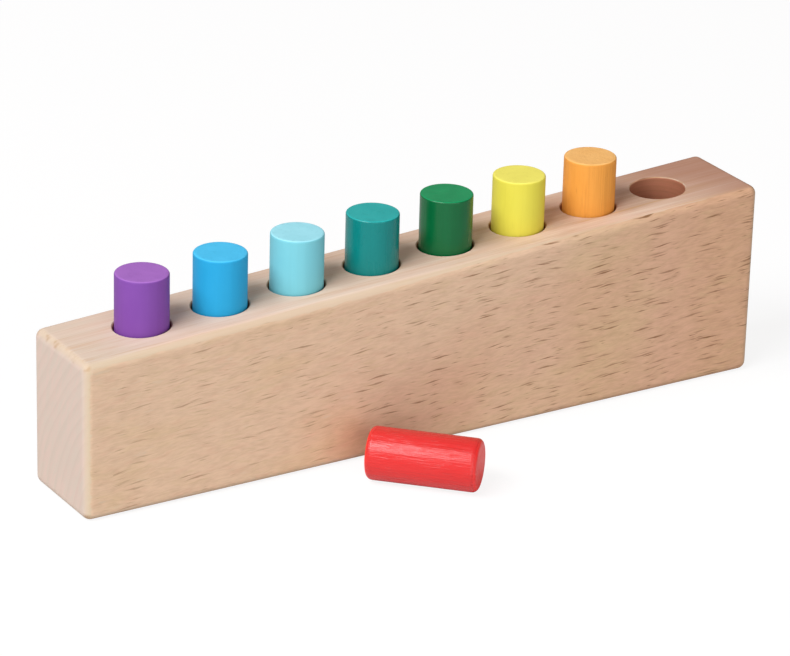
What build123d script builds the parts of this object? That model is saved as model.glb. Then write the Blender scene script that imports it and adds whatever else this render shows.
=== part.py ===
from build123d import *
import math
import os

# A wooden peg block: a solid block with a row of eight blind holes along its top, and eight
# plain round pegs that stand in them. The block is a gentle wedge: its underside is level and
# its top rises evenly from the low end to the high end, so each hole starts a little higher
# than the one before it. Holes and pegs are plumb.
# Millimetres. +X runs along the row towards the high end, +Y to the back, +Z up. The origin is
# the middle of the block's underside. Seven pegs stand in their holes. The last hole is empty,
# and the short peg that belongs in it lies on the floor in front of the block. Its ends are
# eased a little more than the others'.

# Block. The end margin runs from the middle of the first or the last hole to the block's end.
end_margin = 20.0
block_width = 24.4
low_end_height = 36.5
high_end_height = 46.1
arris_radius = 2.0

# Pegs
peg_diameter = 12.0
peg_length = 33.0
short_peg_length = 25.0
peg_end_ease = 0.5
short_peg_end_ease = 0.6
peg_proud = 12.4

# Holes
hole_pitch = 19.2
hole_clearance = 0.35
mouth_ease = 0.3
drill_point_diameter = 2.4
drill_point_depth = 0.7
drill_overrun = 5.0

# The short peg on the floor: its gap to the block's front before its ends are eased, its place
# along the row, towards the low end, and its turn from the row's direction
loose_peg_gap = 4.3
loose_peg_side = 12.8
loose_peg_turn = 44.8

standing_pegs = ("purple", "blue", "light_blue", "teal", "green", "yellow", "orange")

peg_radius = peg_diameter / 2
hole_radius = peg_radius + hole_clearance
hole_count = len(standing_pegs) + 1
row_length = hole_pitch * (hole_count - 1)
block_length = row_length + 2 * end_margin
mean_height = (low_end_height + high_end_height) / 2
top_slope = (high_end_height - low_end_height) / block_length


def top_height(x):
    """Height of the block's top face over a place along the row."""
    return mean_height + top_slope * x


def hole_floor(x, length):
    """Height of a hole's floor, on which a peg of this length stands proud of the top."""
    return top_height(x) + peg_proud - length


# Each hole's place along the row, and the length of the peg that belongs in it
hole_places = [hole_pitch * number - row_length / 2 for number in range(hole_count)]
peg_lengths = [peg_length] * len(standing_pegs) + [short_peg_length]

os.makedirs("parts", exist_ok=True)

# The block: the wedge's side outline, extruded to its width, with every arris rounded over
with BuildPart() as block:
    with BuildSketch(Plane.XZ):
        with BuildLine():
            Polyline(
                (-block_length / 2, 0),
                (block_length / 2, 0),
                (block_length / 2, high_end_height),
                (-block_length / 2, low_end_height),
                close=True,
            )
        make_face()
    extrude(amount=block_width / 2, both=True)
    fillet(block.edges(), arris_radius)

    # Flat-floored holes, drilled plumb from above the sloping top. The drill's centre point
    # leaves a small cone in the middle of each floor.
    for x, length in zip(hole_places, peg_lengths):
        drill_start = top_height(x) + drill_overrun
        with Locations((x, 0, drill_start)):
            Hole(hole_radius, depth=drill_start - hole_floor(x, length))
        with Locations((x, 0, hole_floor(x, length))):
            Cone(
                0,
                drill_point_diameter / 2,
                drill_point_depth,
                align=(Align.CENTER, Align.CENTER, Align.MAX),
                mode=Mode.SUBTRACT,
            )

    # The sloping top cuts each mouth to a slim ellipse, and its sharp edge is eased
    chamfer(block.edges().filter_by(GeomType.ELLIPSE), mouth_ease)
block.part.label = "block"
export_step(block.part, "parts/block.step")

# The standing pegs: a length of dowel on the floor of each hole, with the edge of both ends eased
for number, colour in enumerate(standing_pegs):
    x = hole_places[number]
    with BuildPart() as peg:
        with BuildSketch(Plane((x, 0, hole_floor(x, peg_length)))):
            Circle(peg_radius)
        extrude(amount=peg_length)
        chamfer(peg.edges().filter_by(GeomType.CIRCLE), peg_end_ease)
    peg.part.label = f"peg_{colour}"
    export_step(peg.part, f"parts/peg_{colour}.step")

# The short peg lies on its side. The corner of its far end is the nearest to the block.
turn = math.radians(loose_peg_turn)
loose_peg_reach = short_peg_length / 2 * math.sin(turn) + peg_radius * math.cos(turn)
loose_peg_centre = (
    -loose_peg_side,
    -(block_width / 2 + loose_peg_gap + loose_peg_reach),
    peg_radius,
)
with BuildPart() as short_peg:
    with BuildSketch(Plane(loose_peg_centre, z_dir=(math.cos(turn), -math.sin(turn), 0))):
        Circle(peg_radius)
    extrude(amount=short_peg_length / 2, both=True)
    chamfer(short_peg.edges().filter_by(GeomType.CIRCLE), short_peg_end_ease)
short_peg.part.label = "peg_red"
export_step(short_peg.part, "parts/peg_red.step")
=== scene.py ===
import math
import bpy
import numpy as np
from mathutils import Matrix, Vector


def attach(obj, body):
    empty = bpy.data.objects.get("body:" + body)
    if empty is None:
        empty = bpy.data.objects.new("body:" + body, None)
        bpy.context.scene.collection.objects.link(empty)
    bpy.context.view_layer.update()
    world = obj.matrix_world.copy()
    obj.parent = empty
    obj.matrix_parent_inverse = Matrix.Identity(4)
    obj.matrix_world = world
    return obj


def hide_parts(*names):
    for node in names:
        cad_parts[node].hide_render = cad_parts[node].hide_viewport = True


# The looks of a wooden peg block: a beech block with a row of holes along its top, and eight
# painted dowel pegs. Metres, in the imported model's own frame. Materials work in millimetres.

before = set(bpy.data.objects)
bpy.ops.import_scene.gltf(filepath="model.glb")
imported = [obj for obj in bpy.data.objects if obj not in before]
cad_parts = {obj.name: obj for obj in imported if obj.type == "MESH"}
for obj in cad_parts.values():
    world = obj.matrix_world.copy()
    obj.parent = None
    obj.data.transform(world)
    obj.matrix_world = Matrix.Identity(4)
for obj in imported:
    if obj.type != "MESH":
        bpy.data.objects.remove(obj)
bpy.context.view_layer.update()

MM = 0.001

# Camera: its aim, how far off it stands, its turn, downward tilt and lean in degrees, and its
# focal length and picture width in millimetres
AIM = (0.0023, 0.0085, 0.0197)
CAMERA_DISTANCE = 0.9204
CAMERA_TURN = 31.98
CAMERA_TILT = 23.23
CAMERA_LEAN = 1.60
LENS = 184.96
SENSOR = 36.0

# Light: a soft key from beyond the low end, a broad low fill from the front, and an even room.
# Each lamp: where it comes from, its height in degrees, its width and height in metres, its
# strength and its tone. A strength of 1 shows a facing white surface as white.
LAMP_DISTANCE = 1.6
LAMPS = {
    "key": ((-0.974, -0.225), 48.0, (1.05, 0.65), 0.95, (0.975, 1.0, 1.03)),
    "fill": ((-0.15, -1.0), 17.0, (1.6, 0.8), 0.40, (0.93, 1.0, 1.03)),
}
ROOM_STRENGTH = 0.195
ROOM_TONE = (1.22, 0.975, 0.89)

# Floor: the grey that it lights the pieces with, the grey that takes their shadow, what it shows
# in all where no shadow falls, how far it reaches each way, and how far it lies below them
FLOOR_BOUNCE = 0.70
FLOOR_SHADE = 0.16
FLOOR_WHITE = 1.02
FLOOR_REACH = 3.0
FLOOR_DROP = 0.00005

# Pegs: points around, steps in a rim's quarter circle, rings on a flat end, and how far the
# painted surface lies inside the plain one. Corners that agree to this many digits are one
# corner, and an axis with more than this share along z counts as upright.
AROUND = 128
RIM_STEPS = 8
CAP_RINGS = 8
PAINT_SKIN = 0.005 * MM
SAME_DIGITS = 7
UPRIGHT = 0.5

# Each peg: its paint's colour on the side and on the ends, the ends paler as painted light, how
# much lengthwise grain shows in it, its roughness and its gloss, and how round the rims are
PAINTS = {
    "purple": ("#804BA3", "#A970C5", 0.10, 0.50, 0.15, 0.5 * MM),
    "blue": ("#29A4D8", "#52C9F8", 0.10, 0.50, 0.15, 0.5 * MM),
    "light_blue": ("#7BCAD7", "#A6E9F6", 0.06, 0.50, 0.15, 0.5 * MM),
    "teal": ("#06807D", "#2BB5B2", 0.20, 0.28, 0.32, 0.4 * MM),
    "green": ("#046234", "#149B60", 0.25, 0.25, 0.34, 0.4 * MM),
    "yellow": ("#E2D74F", "#FAF171", 0.30, 0.45, 0.15, 0.5 * MM),
    "orange": ("#EC9F46", "#FFC67A", 0.80, 0.50, 0.15, 0.5 * MM),
    "red": ("#DC302F", "#FF2B27", 1.00, 0.25, 0.42, 1.3 * MM),
}
LOOSE_PEG = "red"

# Where the first paint's patterns start, and how far on the next one's do
FIRST_PAINT_SEED = 20.0
PAINT_SEED_STEP = 20.0


def paint_colour(code):
    """The light that a hex colour stands for by the sRGB curve: red, green, blue, full alpha."""
    parts = np.array([int(code[i:i + 2], 16) for i in (1, 3, 5)]) / 255
    light = np.where(parts <= 0.04045, parts / 12.92, ((parts + 0.055) / 1.055) ** 2.4)
    return (*light.tolist(), 1.0)


class Wire:
    """A number that runs through a node tree. Each sign put to it adds one Math node."""

    def __init__(self, tree, socket):
        self.tree = tree
        self.socket = socket

    def math(self, operation, *others):
        """What this operation makes of the number, with any others that it takes."""
        node = self.tree.nodes.new("ShaderNodeMath")
        node.operation = operation
        for place, value in enumerate((self, *others)):
            plug(self.tree, node.inputs[place], value)
        return Wire(self.tree, node.outputs[0])

    def __add__(self, other):
        return self.math("ADD", other)

    def __sub__(self, other):
        return self.math("SUBTRACT", other)

    def __mul__(self, other):
        return self.math("MULTIPLY", other)

    def __truediv__(self, other):
        return self.math("DIVIDE", other)

    def __neg__(self):
        return self * -1.0

    def __abs__(self):
        return self.math("ABSOLUTE")

    def at_least(self, other):
        return self.math("MAXIMUM", other)

    def at_most(self, other):
        return self.math("MINIMUM", other)

    def step(self, low, high):
        """0 below low, 1 above high, and a smooth climb between them."""
        node = self.tree.nodes.new("ShaderNodeMapRange")
        node.interpolation_type = "SMOOTHSTEP"
        plug(self.tree, node.inputs["Value"], self)
        plug(self.tree, node.inputs["From Min"], low)
        plug(self.tree, node.inputs["From Max"], high)
        return Wire(self.tree, node.outputs["Result"])

    def stretch(self, rise, fall):
        """0, a smooth climb to 1 over the rise, and a smooth way back to 0 over the fall."""
        return self.step(*rise) - self.step(*fall)


def plug(tree, socket, value):
    """Feeds a socket from a wire or an output, or sets it to a plain value."""
    if isinstance(value, Wire):
        value = value.socket
    if isinstance(value, bpy.types.NodeSocket):
        tree.links.new(value, socket)
    else:
        socket.default_value = value


def add(tree, kind, sockets=(), **settings):
    """Adds a node with these settings, and feeds its sockets, given by name or number."""
    node = tree.nodes.new(kind)
    for name, value in settings.items():
        setattr(node, name, value)
    for socket, value in dict(sockets).items():
        plug(tree, node.inputs[socket], value)
    return node


def mixed(tree, share, first, second):
    """Two colours mixed by a share of the second one."""
    return add(tree, "ShaderNodeMix", {0: share, 6: first, 7: second}, data_type="RGBA").outputs[2]


def noise(tree, place, detail, roughness, seed):
    """Smooth noise at a place, centred on 0 and about from -1 to 1."""
    sockets = {"Vector": place, "W": seed, "Scale": 1.0, "Detail": detail, "Roughness": roughness}
    node = add(tree, "ShaderNodeTexNoise", sockets, noise_dimensions="4D")
    return Wire(tree, node.outputs["Fac"]) * 2.0 - 1.0


def stretched(tree, place, sizes):
    """A place measured in units of these sizes, so that a pattern of unit size gets them."""
    over = add(tree, "ShaderNodeVectorMath", {0: place, 1: sizes}, operation="DIVIDE")
    return over.outputs[0]


def patches(tree, place, size, detail, roughness, seed):
    """Noise in patches of this size along x, y and z."""
    return noise(tree, stretched(tree, place, size), detail, roughness, seed)


def parts_of(tree, place):
    """The x, y and z of a place, as wires."""
    node = add(tree, "ShaderNodeSeparateXYZ", {0: place})
    return [Wire(tree, node.outputs[i]) for i in range(3)]


def joined(tree, x, y, z):
    """A place put together from x, y and z."""
    return add(tree, "ShaderNodeCombineXYZ", {0: x, 1: y, 2: z}).outputs[0]


def distance(across, up):
    """The straight distance to a place that is so far across and so far up."""
    return (across * across + up * up).math("SQRT")


def group(name, takes, gives):
    """A new node group. takes names the sockets that it takes, with the first value of a number
    and None for a place, and gives names the numbers that it puts out."""
    tree = bpy.data.node_groups.new(name, "ShaderNodeTree")
    for socket, value in takes.items():
        if value is None:
            tree.interface.new_socket(socket, in_out="INPUT", socket_type="NodeSocketVector")
        else:
            made = tree.interface.new_socket(socket, in_out="INPUT", socket_type="NodeSocketFloat")
            made.default_value = value
    for socket in gives:
        tree.interface.new_socket(socket, in_out="OUTPUT", socket_type="NodeSocketFloat")
    inside = tree.nodes
    return tree, inside.new("NodeGroupInput").outputs, inside.new("NodeGroupOutput").inputs


def place_group(tree, kind, sockets):
    """Places a node group in a tree, feeds its sockets and returns its outputs."""
    node = add(tree, "ShaderNodeGroup", node_tree=kind)
    for socket, value in sockets.items():
        plug(tree, node.inputs[socket], value)
    return node.outputs


# Fibres: how much wider and longer the broad streaks are than the fine ones, how much each kind
# counts, how wide and long a pore is beside a fine streak, where pores begin and are full, each
# kind's detail and roughness, and how far its seed lies off the fine streaks'
BROAD_WIDTH = 4.0
BROAD_LENGTH = 2.0
FINE_SHARE = 0.6
BROAD_SHARE = 0.4
PORE_WIDTH = 0.7
PORE_LENGTH = 0.35
PORE_FADE = (0.35, 0.6)
FINE_NOISE = (3.0, 0.6)
BROAD_NOISE = (2.0, 0.5)
PORE_NOISE = (1.0, 0.5)
BROAD_SEED = 7.0
PORE_SEED = 3.0

# Ray flecks: how many cells the front's and the back's patterns are moved, each its own way, how
# crisp a dash is, and the least reach in cells and the least depth of colour that one has, each
# with what chance adds to it at most
BACK_SHIFT = 17.3
DASH_CRISPNESS = 2.0
DASH_REACH = 0.12
DASH_MORE_REACH = 0.18
DASH_DEPTH = 0.4
DASH_MORE_DEPTH = 0.6


def fibre_group():
    """Fine fibres along z: thin light and dark streaks among broader ones, and open pores."""
    tree, takes, gives = group(
        "fibres",
        {"Place": None, "Seed": 0.0, "Width": 0.5, "Length": 16.0},
        ("Streak", "Pore"),
    )
    place = takes["Place"]
    width, length, seed = (Wire(tree, takes[name]) for name in ("Width", "Length", "Seed"))
    wide = width * BROAD_WIDTH
    slim = width * PORE_WIDTH
    fine = patches(tree, place, joined(tree, width, width, length), *FINE_NOISE, seed)
    broad_size = joined(tree, wide, wide, length * BROAD_LENGTH)
    broad = patches(tree, place, broad_size, *BROAD_NOISE, seed + BROAD_SEED)
    plug(tree, gives["Streak"], fine * FINE_SHARE + broad * BROAD_SHARE)
    pore_size = joined(tree, slim, slim, length * PORE_LENGTH)
    pore = patches(tree, place, pore_size, *PORE_NOISE, seed + PORE_SEED)
    plug(tree, gives["Pore"], pore.step(*PORE_FADE))
    return tree


def ray_group():
    """Ray flecks in the x-z plane: crisp dashes that taper to both ends, each with its own size and
    depth of colour. Share is the share of places that have one. The front and the back differ."""
    tree, takes, gives = group(
        "rays",
        {"Place": None, "Length": 9.0, "Thickness": 1.0, "Share": 0.4},
        ("Fleck",),
    )
    x, y, z = parts_of(tree, takes["Place"])
    along = x / Wire(tree, takes["Length"]) + y.math("SIGN") * BACK_SHIFT
    cells = joined(tree, along, z / Wire(tree, takes["Thickness"]), 0.0)
    settings = {"voronoi_dimensions": "2D", "distance": "MANHATTAN"}
    spots = add(tree, "ShaderNodeTexVoronoi", {"Vector": cells, "Scale": 1.0}, **settings)
    chance, depth, size = parts_of(tree, spots.outputs["Color"])
    there = (chance + Wire(tree, takes["Share"])).math("GREATER_THAN", 1.0)
    reach = size * DASH_MORE_REACH + DASH_REACH
    away = Wire(tree, spots.outputs["Distance"])
    shape = (away * -DASH_CRISPNESS / reach + DASH_CRISPNESS).at_most(1.0).at_least(0.0)
    plug(tree, gives["Fleck"], shape * (depth * DASH_MORE_DEPTH + DASH_DEPTH) * there)
    return tree


FIBRES = fibre_group()
RAYS = ray_group()


def new_material(name):
    """An empty material, its tree, and its Principled shader."""
    material = bpy.data.materials.new(name)
    material.use_nodes = True
    tree = material.node_tree
    return material, tree, tree.nodes["Principled BSDF"]


def millimetres(tree):
    """The place on the piece in millimetres."""
    source = add(tree, "ShaderNodeTexCoord").outputs["Object"]
    return add(tree, "ShaderNodeVectorMath", {0: source, 3: 1 / MM}, operation="SCALE").outputs[0]


# Beech, with its sizes and places in millimetres: where the tree's heart lay beside the block in
# y and z, how wide its rings are, and how many degrees the grain rises towards the high end
HEART = (-62.0, -13.0)
RING_WIDTH = 2.7
GRAIN_RISE = 3.0

# Noises in the beech: their size along x, y and z, their detail, roughness and seed
SWAY = ((70.0, 30.0, 30.0), 1.0, 0.5, 1.0)
LIFT = ((60.0, 25.0, 25.0), 1.0, 0.5, 2.0)
RIPPLE = ((11.0, 11.0, 4.0), 2.0, 0.5, 3.0)
PATCH = ((34.0, 20.0, 12.0), 2.0, 0.5, 5.0)
MOTTLE = ((8.0, 1.2, 5.0), 3.0, 0.6, 6.0)
WEAR = ((5.0, 3.6, 5.0), 2.0, 0.6, 7.0)
CROWD = ((30.0, 30.0, 12.0), 1.0, 0.5, 8.0)
RAGGED = ((5.0, 1.2, 1.2), 2.0, 0.5, 10.0)
WAVE = ((3.0, 3.0, 1.2), 2.0, 0.5, 11.0)
ROSE = ((40.0, 3.5, 3.5), 2.0, 0.5, 12.0)
BLUSH = ((4.0, 1.6, 6.0), 2.0, 0.6, 13.0)

# How far these move the grain: the sway sideways, the others up and down
SWAY_REACH = 4.0
LIFT_REACH = 2.0
RIPPLE_REACH = 0.9
FIBRE_WAVE = 0.35
FLECK_WAVE = 0.12

# The fibres on the wide faces and on the top
SHORT_FIBRES = {"Seed": 0.0, "Width": 0.38, "Length": 2.8}
LONG_FIBRES = {"Seed": 9.0, "Width": 0.36, "Length": 20.0}

# Growth rings: how fast and how far their width varies, the detail, roughness and seed of that,
# and the late part of a ring: where it begins and is full, and where it fades and is gone
RING_PACE = 0.2
RING_UNEVEN = 1.5
RING_NOISE = (1.0, 0.5, 4.0)
LATE_WOOD = ((0.35, 0.95), (0.95, 1.0))

# Stretches along the row, as x where one begins and is full: where the wood counts as far, the
# pale and the straw stretch with their far ends, where the low end's cream turns lighter, where
# the top's rose grows and where the flecks darken
FAR_PART = (-20.0, 60.0)
PALE_STRETCH = ((6.0, 20.0), (30.0, 44.0))
STRAW_STRETCH = ((30.0, 44.0), (52.0, 66.0))
CREAM_PART = (-80.0, -60.0)
ROSE_PART = (-88.0, -58.0)
DARK_FLECK_PART = (-60.0, 20.0)

# The rosy wood of a wide face begins along a sloping line, made uneven by the patches. On the
# pale stretch it is weaker.
ROSY_SLOPE = 1.86
ROSY_UNEVEN = 26.0
ROSY_SHIFT = 21.0
ROSY_FADE = (-36.0, 12.0)
ROSY_LESS = 0.4

# A painted shadow, reddened by a painted reflection, darkens the top's far corner along a slanting
# line
SHADOW_SLANT = 0.8
SHADOW_UNEVEN = 8.0

# Which face is which, by how far its normal turns that way. The wide faces reach over the
# arrises in ragged tongues, and further over them at the far end. Wear shows only where its own
# noise is strong, and at the corners where the ragged one is.
WIDE_TURN = (0.88, 0.97)
WIDE_RAGGED = 0.16
WIDE_FAR = 0.45
UNDER_TURN = (0.3, 0.8)
END_TURN = (0.40, 0.95)
END_ARRIS_TURN = ((0.15, 0.5), (0.8, 0.99))
TOP_EDGE_TURN = (0.22, 0.5)
CORNER_TURN = (0.0, 0.2)
WEAR_FADE = (0.0, 0.35)
CORNER_FADE = (-0.5, 0.4)

# The ends' mottles: how much they slant, and where they are all grey and all rosy
MOTTLE_SLANT = 0.5
MOTTLE_FADE = (-0.3, 0.3)

# The beech's ground colours
PALE_BEECH = "#E2C1A3"
ROSY_BEECH = "#DAAE91"
LOW_CREAM = "#DDCAB6"
TOP_CREAM = "#E7CDB9"
END_GREY = "#D1C0B1"
END_ROSE = "#D6BFB1"
# The holes' brown: browner bored wood, made darker still as painted shade
BORED_BROWN_AND_SHADE = "#AE7055"
FLECK_BROWN = "#87603F"
ARRIS_TAN = "#D0BA9A"
STRAW = "#D3B98A"

# Tones laid over them: the colour, where in its pattern the tone begins and is full, or None for
# a pattern that already runs from 0 to 1, the share of it that is laid on, and how much larger
# that share is where there is more of it
TONES = {
    "tan patches": ("#D9B990", (-0.05, 0.45), 0.5, 0.0),
    "straw stretch": (STRAW, None, 0.2, 0.0),
    "far tan": ("#CC9E70", (58.0, 82.0), 0.3, 0.0),
    "blush": ("#DEB095", (0.0, 0.4), 0.3, 0.0),
    "straw between blushes": (STRAW, (0.0, 0.4), 0.2, 0.0),
    "short fibres": (FLECK_BROWN, (-0.3, 0.4), 0.22, 0.06),
    "top tan": ("#D8B69B", (-10.0, 45.0), 1.0, 0.0),
    "top rose": ("#E8C7B2", (-0.2, 0.3), 0.2, 0.5),
    "honey streaks": ("#CFA26C", (0.0, 0.3), 0.4, 0.2),
    "light streaks": ("#F2DECA", (0.0, 0.3), 0.38, 0.15),
    "long arris": (ARRIS_TAN, (0.2, 0.6), 0.6, 0.0),
    # Painted shadow with a reddish painted reflection over the top's far end
    "far painted shadow": ("#AC7963", (56.0, 88.0), 0.75, 0.0),
    "late wood": (FLECK_BROWN, None, 0.05, 0.0),
    # Painted shade on the faces that look down: the underside and the lower arrises
    "underside": (FLECK_BROWN, (0.2, 0.8), 0.35, 0.0),
    "end arris": (ARRIS_TAN, None, 0.35, 0.0),
    "worn edge": ("#A87A47", None, 0.5, 0.0),
    "turning marks": (FLECK_BROWN, (-0.3, 0.4), 0.3, 0.0),
}

# Large and small ray flecks: their length, thickness, share of places and depth of colour. Then
# how many more there are in a crowd and at the far end, how dark they are everywhere, and how
# much darker past the low end and again at the far end.
FLECKS = ((15.0, 0.92, 0.56, 1.0), (6.5, 0.62, 0.28, 0.7))
CROWD_SHARE = 0.25
FAR_CROWD = 0.06
FLECK_DEPTH = 0.50
PAST_LOW_DEPTH = 0.34
FAR_DEPTH = 0.10

# Bored holes: the slack around a peg that still counts as its hole, the width over which the
# bored wood gives way to the face, the heights between which it begins, the turning marks' pace
# outwards and upwards, and their detail, roughness and seed
HOLE_SLACK = 0.5
MOUTH_FADE = (0.0, 0.1)
BORED_FROM = (3.0, 4.0)
MARKS_OUT = 1.4
MARKS_UP = 1.3
MARKS_NOISE = (2.0, 0.6, 9.0)

# The beech's sheen and relief
BEECH_ROUGHNESS = 0.60
FIBRE_ROUGHNESS = 0.06
BEECH_GLOSS = 0.3
FIBRE_HEIGHT = 0.4
FLECK_HOLLOW = 0.7
BEECH_RELIEF = 0.07 * MM
BEECH_BUMP = 0.5


def laid(tree, colour, pattern, tone, more=None):
    """A tone laid over a colour where its pattern is strong, with a larger share where more is."""
    code, fade, share, larger = TONES[tone]
    if fade:
        pattern = pattern.step(*fade)
    if more is not None:
        share = more * larger + share
    return mixed(tree, pattern * share, colour, paint_colour(code))


def streaks(tree, place, fibres):
    """The light and dark streaks of fibres that run along the place's z."""
    return Wire(tree, place_group(tree, FIBRES, {"Place": place, **fibres})["Streak"])


def wide_face(tree, x, z, patch, far, short_place, short):
    """The front, the back and the underside: a pale ground that turns rosy towards the high end,
    with patches of tan, blushes along the fibres, and short brown fibres."""
    pale = x.stretch(*PALE_STRETCH) * -ROSY_LESS + 1.0
    rosy = (x - z * ROSY_SLOPE + patch * ROSY_UNEVEN + ROSY_SHIFT).step(*ROSY_FADE) * pale
    ground = mixed(tree, rosy, paint_colour(PALE_BEECH), paint_colour(ROSY_BEECH))
    ground = laid(tree, ground, -patch, "tan patches")
    ground = laid(tree, ground, x.stretch(*STRAW_STRETCH), "straw stretch")
    ground = laid(tree, ground, x, "far tan")
    blush = patches(tree, short_place, *BLUSH)
    ground = laid(tree, ground, blush, "blush")
    ground = laid(tree, ground, -blush, "straw between blushes")
    return laid(tree, ground, short, "short fibres", far)


def top_face(tree, grain, x, y, facing, patch, far, long):
    """The top: cream that turns tan towards the high end, with long streaks of rose, honey and
    light, tan long arrises, and a painted shadow with a reddish painted reflection on the far
    corner."""
    cream = mixed(tree, x.step(*CREAM_PART), paint_colour(LOW_CREAM), paint_colour(TOP_CREAM))
    top = laid(tree, cream, x, "top tan")
    rose = patches(tree, grain, *ROSE)
    top = laid(tree, top, rose, "top rose", x.step(*ROSE_PART))
    top = laid(tree, top, long, "honey streaks", far)
    top = laid(tree, top, -long, "light streaks", far)
    top = laid(tree, top, facing, "long arris")
    # Painted shadow with a reddish painted reflection on the top's far corner
    return laid(tree, top, x + y * SHADOW_SLANT + patch * SHADOW_UNEVEN, "far painted shadow")


def end_face(tree, grain, x, y, z):
    """An end: grey and rosy mottles, and faint growth rings about the heart."""
    off_y = y + patches(tree, grain, *SWAY) * SWAY_REACH - HEART[0]
    heart_distance = distance(off_y, z - HEART[1])
    uneven = noise(tree, joined(tree, heart_distance * RING_PACE, 0.0, 0.0), *RING_NOISE)
    ring = ((heart_distance + uneven * RING_UNEVEN) / RING_WIDTH).math("FRACT")
    mottle = patches(tree, joined(tree, x, y + z * MOTTLE_SLANT, z), *MOTTLE)
    cut = mixed(tree, mottle.step(*MOTTLE_FADE), paint_colour(END_GREY), paint_colour(END_ROSE))
    return laid(tree, cut, ring.stretch(*LATE_WOOD), "late wood")


def worn_edges(tree, colour, grain, normal, ragged):
    """The ends' arrises are tan. The one at the top is brown in places, and so are the corners."""
    nx, ny, nz = normal
    colour = laid(tree, colour, abs(nx).stretch(*END_ARRIS_TURN), "end arris")
    wear = patches(tree, grain, *WEAR)
    edge = (abs(nx) * nz).step(*TOP_EDGE_TURN) * wear.step(*WEAR_FADE)
    corner = abs(nx * ny * nz).step(*CORNER_TURN) * ragged.step(*CORNER_FADE)
    return laid(tree, colour, edge.at_least(corner), "worn edge")


def ray_flecks(tree, place, crowd):
    """Large and small ray flecks together. They crowd where crowd is high."""
    layers = []
    for length, thickness, share, depth in FLECKS:
        sockets = {"Place": place, "Length": length, "Thickness": thickness, "Share": crowd + share}
        layers.append(Wire(tree, place_group(tree, RAYS, sockets)["Fleck"]) * depth)
    large, small = layers
    return large.at_least(small)


def bored_holes(tree, colour, place, first_hole, hole_pitch, last_number, hole_reach):
    """Browner wood, darker still by painted shade, with turning marks, inside the reach of the
    nearest hole's axis and well above the underside. Holes are counted from 0, and each axis is
    plumb."""
    x, y, z = parts_of(tree, place)
    number = ((x - first_hole) / hole_pitch).math("ROUND").at_least(0.0).at_most(last_number)
    off_axis = distance(x - number * hole_pitch - first_hole, y)
    bored = (-off_axis + hole_reach).step(*MOUTH_FADE) * z.step(*BORED_FROM)
    marks = noise(tree, joined(tree, off_axis * MARKS_OUT, 0.0, z * MARKS_UP), *MARKS_NOISE)
    # The holes' brown is partly painted shade
    hole = laid(tree, paint_colour(BORED_BROWN_AND_SHADE), marks, "turning marks")
    return mixed(tree, bored, colour, hole)


def beech(first_hole, hole_pitch, last_number, hole_reach):
    """Sanded beech. The wide faces cut along the rays and show them as dark flecks among short
    wavy fibres, the top cuts across the rays and shows long streaks, the ends show faint rings,
    and the bored holes are browner, partly as painted shade. Each face is told by its normal, the
    holes by their axes."""
    material, tree, shader = new_material("beech")
    place = millimetres(tree)
    rise = (0, math.radians(GRAIN_RISE), 0)
    grain = add(tree, "ShaderNodeMapping", {"Vector": place, "Rotation": rise}).outputs[0]
    x, y, z = parts_of(tree, grain)
    z = z + patches(tree, grain, *LIFT) * LIFT_REACH
    rippled = z + patches(tree, grain, *RIPPLE) * RIPPLE_REACH
    wave = patches(tree, grain, *WAVE)
    patch = patches(tree, grain, *PATCH)
    ragged = patches(tree, grain, *RAGGED)
    far = x.step(*FAR_PART)

    nx, ny, nz = parts_of(tree, add(tree, "ShaderNodeTexCoord").outputs["Normal"])
    facing = abs(ny)
    wide = (facing + ragged * WIDE_RAGGED + far * WIDE_FAR).step(*WIDE_TURN)
    wide = wide.at_least((-nz).step(*UNDER_TURN))
    short_place = joined(tree, y, rippled + wave * FIBRE_WAVE, x)
    short = streaks(tree, short_place, SHORT_FIBRES)
    long = streaks(tree, joined(tree, y, z, x), LONG_FIBRES)

    ground = wide_face(tree, x, z, patch, far, short_place, short)
    top = top_face(tree, grain, x, y, facing, patch, far, long)
    colour = mixed(tree, wide, top, ground)
    colour = mixed(tree, abs(nx).step(*END_TURN), colour, end_face(tree, grain, x, y, z))
    # Painted shade: faces that look down, the underside and the lower arrises, are darkened
    colour = laid(tree, colour, -nz, "underside")
    colour = worn_edges(tree, colour, grain, (nx, ny, nz), ragged)

    crowd = patches(tree, grain, *CROWD) * CROWD_SHARE + far * FAR_CROWD
    fleck = ray_flecks(tree, joined(tree, x, y, rippled + wave * FLECK_WAVE), crowd) * wide
    depth = x.step(*DARK_FLECK_PART) * PAST_LOW_DEPTH + far * FAR_DEPTH + FLECK_DEPTH
    colour = mixed(tree, fleck * depth, colour, paint_colour(FLECK_BROWN))
    colour = bored_holes(tree, colour, place, first_hole, hole_pitch, last_number, hole_reach)

    plug(tree, shader.inputs["Base Color"], colour)
    plug(tree, shader.inputs["Roughness"], short * FIBRE_ROUGHNESS + BEECH_ROUGHNESS)
    shader.inputs["Specular IOR Level"].default_value = BEECH_GLOSS
    height = short * FIBRE_HEIGHT - fleck * FLECK_HOLLOW
    relief = {"Height": height, "Strength": BEECH_BUMP, "Distance": BEECH_RELIEF}
    plug(tree, shader.inputs["Normal"], add(tree, "ShaderNodeBump", relief).outputs[0])
    return material


# Paint: deep paint is the full colour darkened by these shares of red, green and blue, and thin
# paint is the full colour raised to this power. Fibres have this width and length, and bands and
# clouds this size along x, y and z, this detail and this roughness.
DEEP_PAINT = (0.66, 0.58, 0.55)
THIN_PAINT = 0.82
FIBRE_WIDTH = 0.34
FIBRE_LENGTH = 12.0
BAND = ((1.5, 1.5, 40.0), 1.0, 0.5)
BAND_SEED = 11.0
CLOUD = ((4.0, 4.0, 6.0), 2.0, 0.5)
CLOUD_SEED = 13.0

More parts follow.
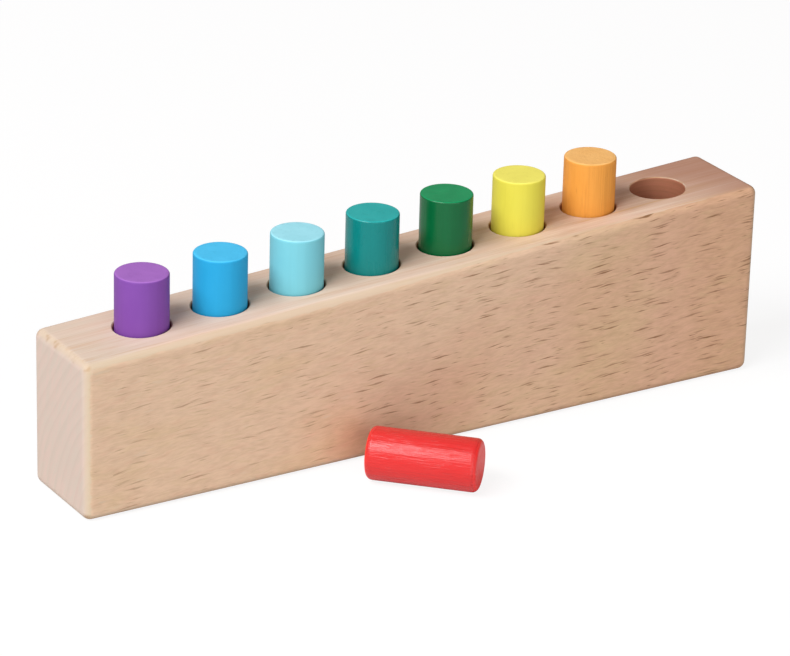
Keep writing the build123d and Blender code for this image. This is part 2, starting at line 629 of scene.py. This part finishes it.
# Where in its pattern each one begins and is full, the bands as the streaks, and where an end's
# tone begins and is full on the rim, in rims from the flat end
STREAK_FADE = (0.0, 0.5)
CLOUD_FADE = (-0.3, 0.5)
END_CLOUD_FADE = (-0.4, 0.4)
CAP_FADE = (-0.5, -0.2)

# How much each pattern tones the paint: with the grain in full, and for the bands also without
STREAK_DEEP = 0.55
STREAK_THIN = 0.35
PORE_DEEP = 0.5
BAND_DEEP = 0.12
BAND_LEAST_DEEP = 0.04
CLOUD_THIN = 0.10
END_CLOUD_THIN = 0.25
END_STREAK_DEEP = 0.2

# How much each pattern roughens the paint and how high it stands on it
STREAK_ROUGHNESS = 0.16
CLOUD_ROUGHNESS = 0.05
CAP_ROUGHNESS = 0.1
STREAK_HEIGHT = 0.5
BAND_HEIGHT = 0.18
BAND_LEAST_HEIGHT = 0.06
CLOUD_HEIGHT = 0.10
PORE_HOLLOW = 0.3
PAINT_RELIEF = 0.25 * MM
PAINT_BUMP = 1.0


def paint(name, side, ends, grain, roughness, gloss, rim, half_length, seed):
    """Satin paint on a dowel: the wood's lengthwise fibres show through it as fine streaks, the
    brush left it a little thicker in broad lengthwise bands, and the ends have a paler tone that is
    painted light."""
    material, tree, shader = new_material(f"paint_{name}")
    place = add(tree, "ShaderNodeAttribute", attribute_name="dowel").outputs["Vector"]
    sockets = {"Place": place, "Seed": seed, "Width": FIBRE_WIDTH, "Length": FIBRE_LENGTH}
    fibres = place_group(tree, FIBRES, sockets)
    streak = Wire(tree, fibres["Streak"])
    pore = Wire(tree, fibres["Pore"])
    band = patches(tree, place, *BAND, seed + BAND_SEED)
    cloud = patches(tree, place, *CLOUD, seed + CLOUD_SEED)

    full = np.array(paint_colour(side))
    deep = (*(full[:3] * DEEP_PAINT), 1.0)
    thin = tuple(full ** THIN_PAINT)
    dark = streak.step(*STREAK_FADE)
    colour = mixed(tree, dark * (STREAK_DEEP * grain), tuple(full), deep)
    colour = mixed(tree, (-streak).step(*STREAK_FADE) * (STREAK_THIN * grain), colour, thin)
    colour = mixed(tree, pore * (PORE_DEEP * grain), colour, deep)
    band_share = BAND_DEEP * grain + BAND_LEAST_DEEP
    colour = mixed(tree, band.step(*STREAK_FADE) * band_share, colour, deep)
    colour = mixed(tree, cloud.step(*CLOUD_FADE) * CLOUD_THIN, colour, thin)
    end_share = cloud.step(*END_CLOUD_FADE) * END_CLOUD_THIN
    # The ends' paler colour is painted light
    end_colour = mixed(tree, end_share, paint_colour(ends), thin)
    end_colour = mixed(tree, dark * END_STREAK_DEEP, end_colour, deep)
    past_end = abs(parts_of(tree, place)[2]) - half_length
    cap = past_end.step(*(share * rim for share in CAP_FADE))
    plug(tree, shader.inputs["Base Color"], mixed(tree, cap, colour, end_colour))

    rough = streak * (STREAK_ROUGHNESS * grain) + cloud * CLOUD_ROUGHNESS + cap * CAP_ROUGHNESS
    plug(tree, shader.inputs["Roughness"], rough + roughness)
    shader.inputs["Specular IOR Level"].default_value = gloss
    height = streak * (STREAK_HEIGHT * grain) + band * (BAND_HEIGHT * grain + BAND_LEAST_HEIGHT)
    height = height + cloud * CLOUD_HEIGHT - pore * (PORE_HOLLOW * grain)
    relief = {"Height": height, "Strength": PAINT_BUMP, "Distance": PAINT_RELIEF}
    plug(tree, shader.inputs["Normal"], add(tree, "ShaderNodeBump", relief).outputs[0])
    return material


def dowel_in_frame(node):
    """A peg's middle, long axis, length and radius, worked out from its node in the frame. The
    axis runs from the middle of one end's corners to the middle of the other end's."""
    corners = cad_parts[node].data.vertices
    points = np.empty(len(corners) * 3, np.float32)
    corners.foreach_get("co", points)
    points = np.unique(points.reshape(-1, 3).astype(float).round(SAME_DIGITS), axis=0)
    rough_axis = np.linalg.svd(points - points.mean(0), full_matrices=False)[2][0]
    longest = rough_axis[2] if abs(rough_axis[2]) > UPRIGHT else rough_axis[0]
    along = (points - points.mean(0)) @ (rough_axis * np.sign(longest))
    foot = points[along < 0].mean(0)
    top = points[along > 0].mean(0)
    middle = (foot + top) / 2
    axis = (top - foot) / np.linalg.norm(top - foot)
    along = (points - middle) @ axis
    radius = np.linalg.norm(points - middle - np.outer(along, axis), axis=1).max()
    return middle, axis, np.ptp(along), radius


def turned_peg(name, middle, axis, length, radius, rim):
    """A dowel turned about its axis. Its profile starts in the middle of the foot, runs out to a
    rim that is a quarter circle, up the side, round the upper rim and in to the middle of the
    top. The profile goes round once, and each pole is one point. The place on the dowel, in
    millimetres from its middle with z along the axis, is kept as the attribute dowel."""
    radius = radius - PAINT_SKIN
    flat = radius - rim
    cap = np.sqrt(np.linspace(0, 1, CAP_RINGS + 1)[1:]) * flat
    quarter = np.linspace(0, math.pi / 2, RIM_STEPS + 1)[1:]
    foot_r = np.concatenate([cap, flat + rim * np.sin(quarter)])
    foot_z = np.concatenate([np.zeros(CAP_RINGS), rim * (1 - np.cos(quarter))])
    profile_r = np.concatenate([foot_r, foot_r[::-1]])
    profile_z = np.concatenate([foot_z - length / 2, length / 2 - foot_z[::-1]])
    turn = np.linspace(0, 2 * math.pi, AROUND, endpoint=False)
    local = np.stack(
        [
            np.outer(profile_r, np.cos(turn)),
            np.outer(profile_r, np.sin(turn)),
            np.outer(profile_z, np.ones(AROUND)),
        ],
        axis=-1,
    ).reshape(-1, 3)
    local = np.vstack([local, [(0, 0, -length / 2), (0, 0, length / 2)]])
    upright = (0.0, 0.0, 1.0) if abs(axis[2]) < UPRIGHT else (0.0, 1.0, 0.0)
    side = np.cross(upright, axis)
    side = side / np.linalg.norm(side)
    points = middle + local @ np.array([side, np.cross(axis, side), axis])

    rows = len(profile_r)
    row, column = np.meshgrid(np.arange(rows - 1), np.arange(AROUND), indexing="ij")
    beside = (column + 1) % AROUND
    lower = row * AROUND
    upper = lower + AROUND
    walls = [lower + column, lower + beside, upper + beside, upper + column]
    walls = np.stack(walls, axis=-1).reshape(-1, 4)
    ring = np.arange(AROUND)
    after = (ring + 1) % AROUND
    last = (rows - 1) * AROUND
    foot_pole = rows * AROUND
    foot = np.stack([after, ring, np.full(AROUND, foot_pole)], axis=-1)
    top = np.stack([last + ring, last + after, np.full(AROUND, foot_pole + 1)], axis=-1)

    mesh = bpy.data.meshes.new(name)
    mesh.from_pydata(points.tolist(), [], walls.tolist() + foot.tolist() + top.tolist())
    mesh.shade_smooth()
    stored = mesh.attributes.new("dowel", "FLOAT_VECTOR", "POINT")
    stored.data.foreach_set("vector", (local / MM).astype(np.float32).ravel())
    piece = bpy.data.objects.new(name, mesh)
    bpy.context.scene.collection.objects.link(piece)
    return piece


def seen_directly(tree):
    """1 for what the camera sees, 0 for light on its way to a piece."""
    return Wire(tree, add(tree, "ShaderNodeLightPath").outputs["Is Camera Ray"])


def grey(level):
    """A colour without hue."""
    return (level, level, level, 1.0)


def lay_floor():
    """A flat square that shows as white around the object's soft shadow."""
    low, high = -FLOOR_REACH, FLOOR_REACH
    corners = [(x, y, -FLOOR_DROP) for x, y in ((low, low), (high, low), (high, high), (low, high))]
    mesh = bpy.data.meshes.new("floor")
    mesh.from_pydata(corners, [], [(0, 1, 2, 3)])
    floor = bpy.data.objects.new("floor", mesh)
    bpy.context.scene.collection.objects.link(floor)
    material = bpy.data.materials.new("floor")
    material.use_nodes = True
    tree = material.node_tree
    tree.nodes.clear()
    bounce = add(tree, "ShaderNodeBsdfDiffuse", {"Color": grey(FLOOR_BOUNCE)})
    shade = add(tree, "ShaderNodeBsdfDiffuse", {"Color": grey(FLOOR_SHADE)})
    glow = add(tree, "ShaderNodeEmission", {"Strength": FLOOR_WHITE - FLOOR_SHADE})
    white = add(tree, "ShaderNodeAddShader", {0: shade.outputs[0], 1: glow.outputs[0]})
    ways = {0: seen_directly(tree), 1: bounce.outputs[0], 2: white.outputs[0]}
    choice = add(tree, "ShaderNodeMixShader", ways)
    add(tree, "ShaderNodeOutputMaterial", {0: choice.outputs[0]})
    mesh.materials.append(material)


def light_room():
    """A room that lights the pieces evenly and faintly, and shows as white."""
    world = bpy.data.worlds.new("room")
    world.use_nodes = True
    bpy.context.scene.world = world
    tree = world.node_tree
    tree.nodes.clear()
    seen = seen_directly(tree)
    tone = mixed(tree, seen, (*ROOM_TONE, 1.0), grey(1.0))
    strength = seen * (1.0 - ROOM_STRENGTH) + ROOM_STRENGTH
    backdrop = add(tree, "ShaderNodeBackground", {"Color": tone, "Strength": strength})
    add(tree, "ShaderNodeOutputWorld", {0: backdrop.outputs[0]})


def hang_lamps():
    """The lamps, each turned towards the aim."""
    for name, (source, degrees, size, strength, tone) in LAMPS.items():
        height = math.radians(degrees)
        level = Vector((*source, 0)).normalized() * math.cos(height)
        towards = Vector((level.x, level.y, math.sin(height)))
        lamp = bpy.data.lights.new(name, "AREA")
        lamp.shape = "RECTANGLE"
        lamp.size, lamp.size_y = size
        lamp.color = tone
        # An area light's power that lights a facing surface at this distance to its strength
        lamp.energy = strength * math.pi * math.pi * LAMP_DISTANCE ** 2
        stand = bpy.data.objects.new(name, lamp)
        stand.location = Vector(AIM) + towards * LAMP_DISTANCE
        stand.rotation_euler = towards.to_track_quat("Z", "Y").to_euler()
        bpy.context.scene.collection.objects.link(stand)


def set_camera():
    """The photograph's viewpoint: aimed, then turned, tilted and leaned."""
    data = bpy.data.cameras.new("camera")
    data.sensor_width = SENSOR
    data.lens = LENS
    turn = Matrix.Rotation(math.radians(-CAMERA_TURN), 4, "Z")
    tilt = Matrix.Rotation(math.radians(90 - CAMERA_TILT), 4, "X")
    lean = Matrix.Rotation(math.radians(CAMERA_LEAN), 4, "Z")
    stand = Matrix.Translation((0, 0, CAMERA_DISTANCE))
    eye = bpy.data.objects.new("camera", data)
    eye.matrix_world = Matrix.Translation(AIM) @ turn @ tilt @ lean @ stand
    bpy.context.scene.collection.objects.link(eye)
    bpy.context.scene.camera = eye


# The standing pegs tell where the holes are. The last hole is empty, one pitch beyond them.
dowels = {colour: dowel_in_frame(f"peg_{colour}") for colour in PAINTS}
standing = [dowel for colour, dowel in dowels.items() if colour != LOOSE_PEG]
first_middle, _, _, peg_radius = standing[0]
last_middle = standing[-1][0]
pitch = (last_middle[0] - first_middle[0]) / (len(standing) - 1)
hole_reach = peg_radius / MM + HOLE_SLACK
wood = beech(first_middle[0] / MM, pitch / MM, float(len(standing)), hole_reach)
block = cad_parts["block"]
block.material_slots[0].material = wood

for number, (colour, (side, ends, grain, roughness, gloss, rim)) in enumerate(PAINTS.items()):
    node = f"peg_{colour}"
    middle, axis, length, radius = dowels[colour]
    piece = turned_peg(f"painted_{node}", middle, axis, length, radius, rim)
    half_length = length / 2 / MM
    seed = FIRST_PAINT_SEED + PAINT_SEED_STEP * number
    finish = paint(colour, side, ends, grain, roughness, gloss, rim / MM, half_length, seed)
    piece.data.materials.append(finish)
    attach(piece, node)
    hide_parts(node)

lay_floor()
light_room()
hang_lamps()
set_camera()
bpy.context.scene.view_settings.view_transform = "Standard"
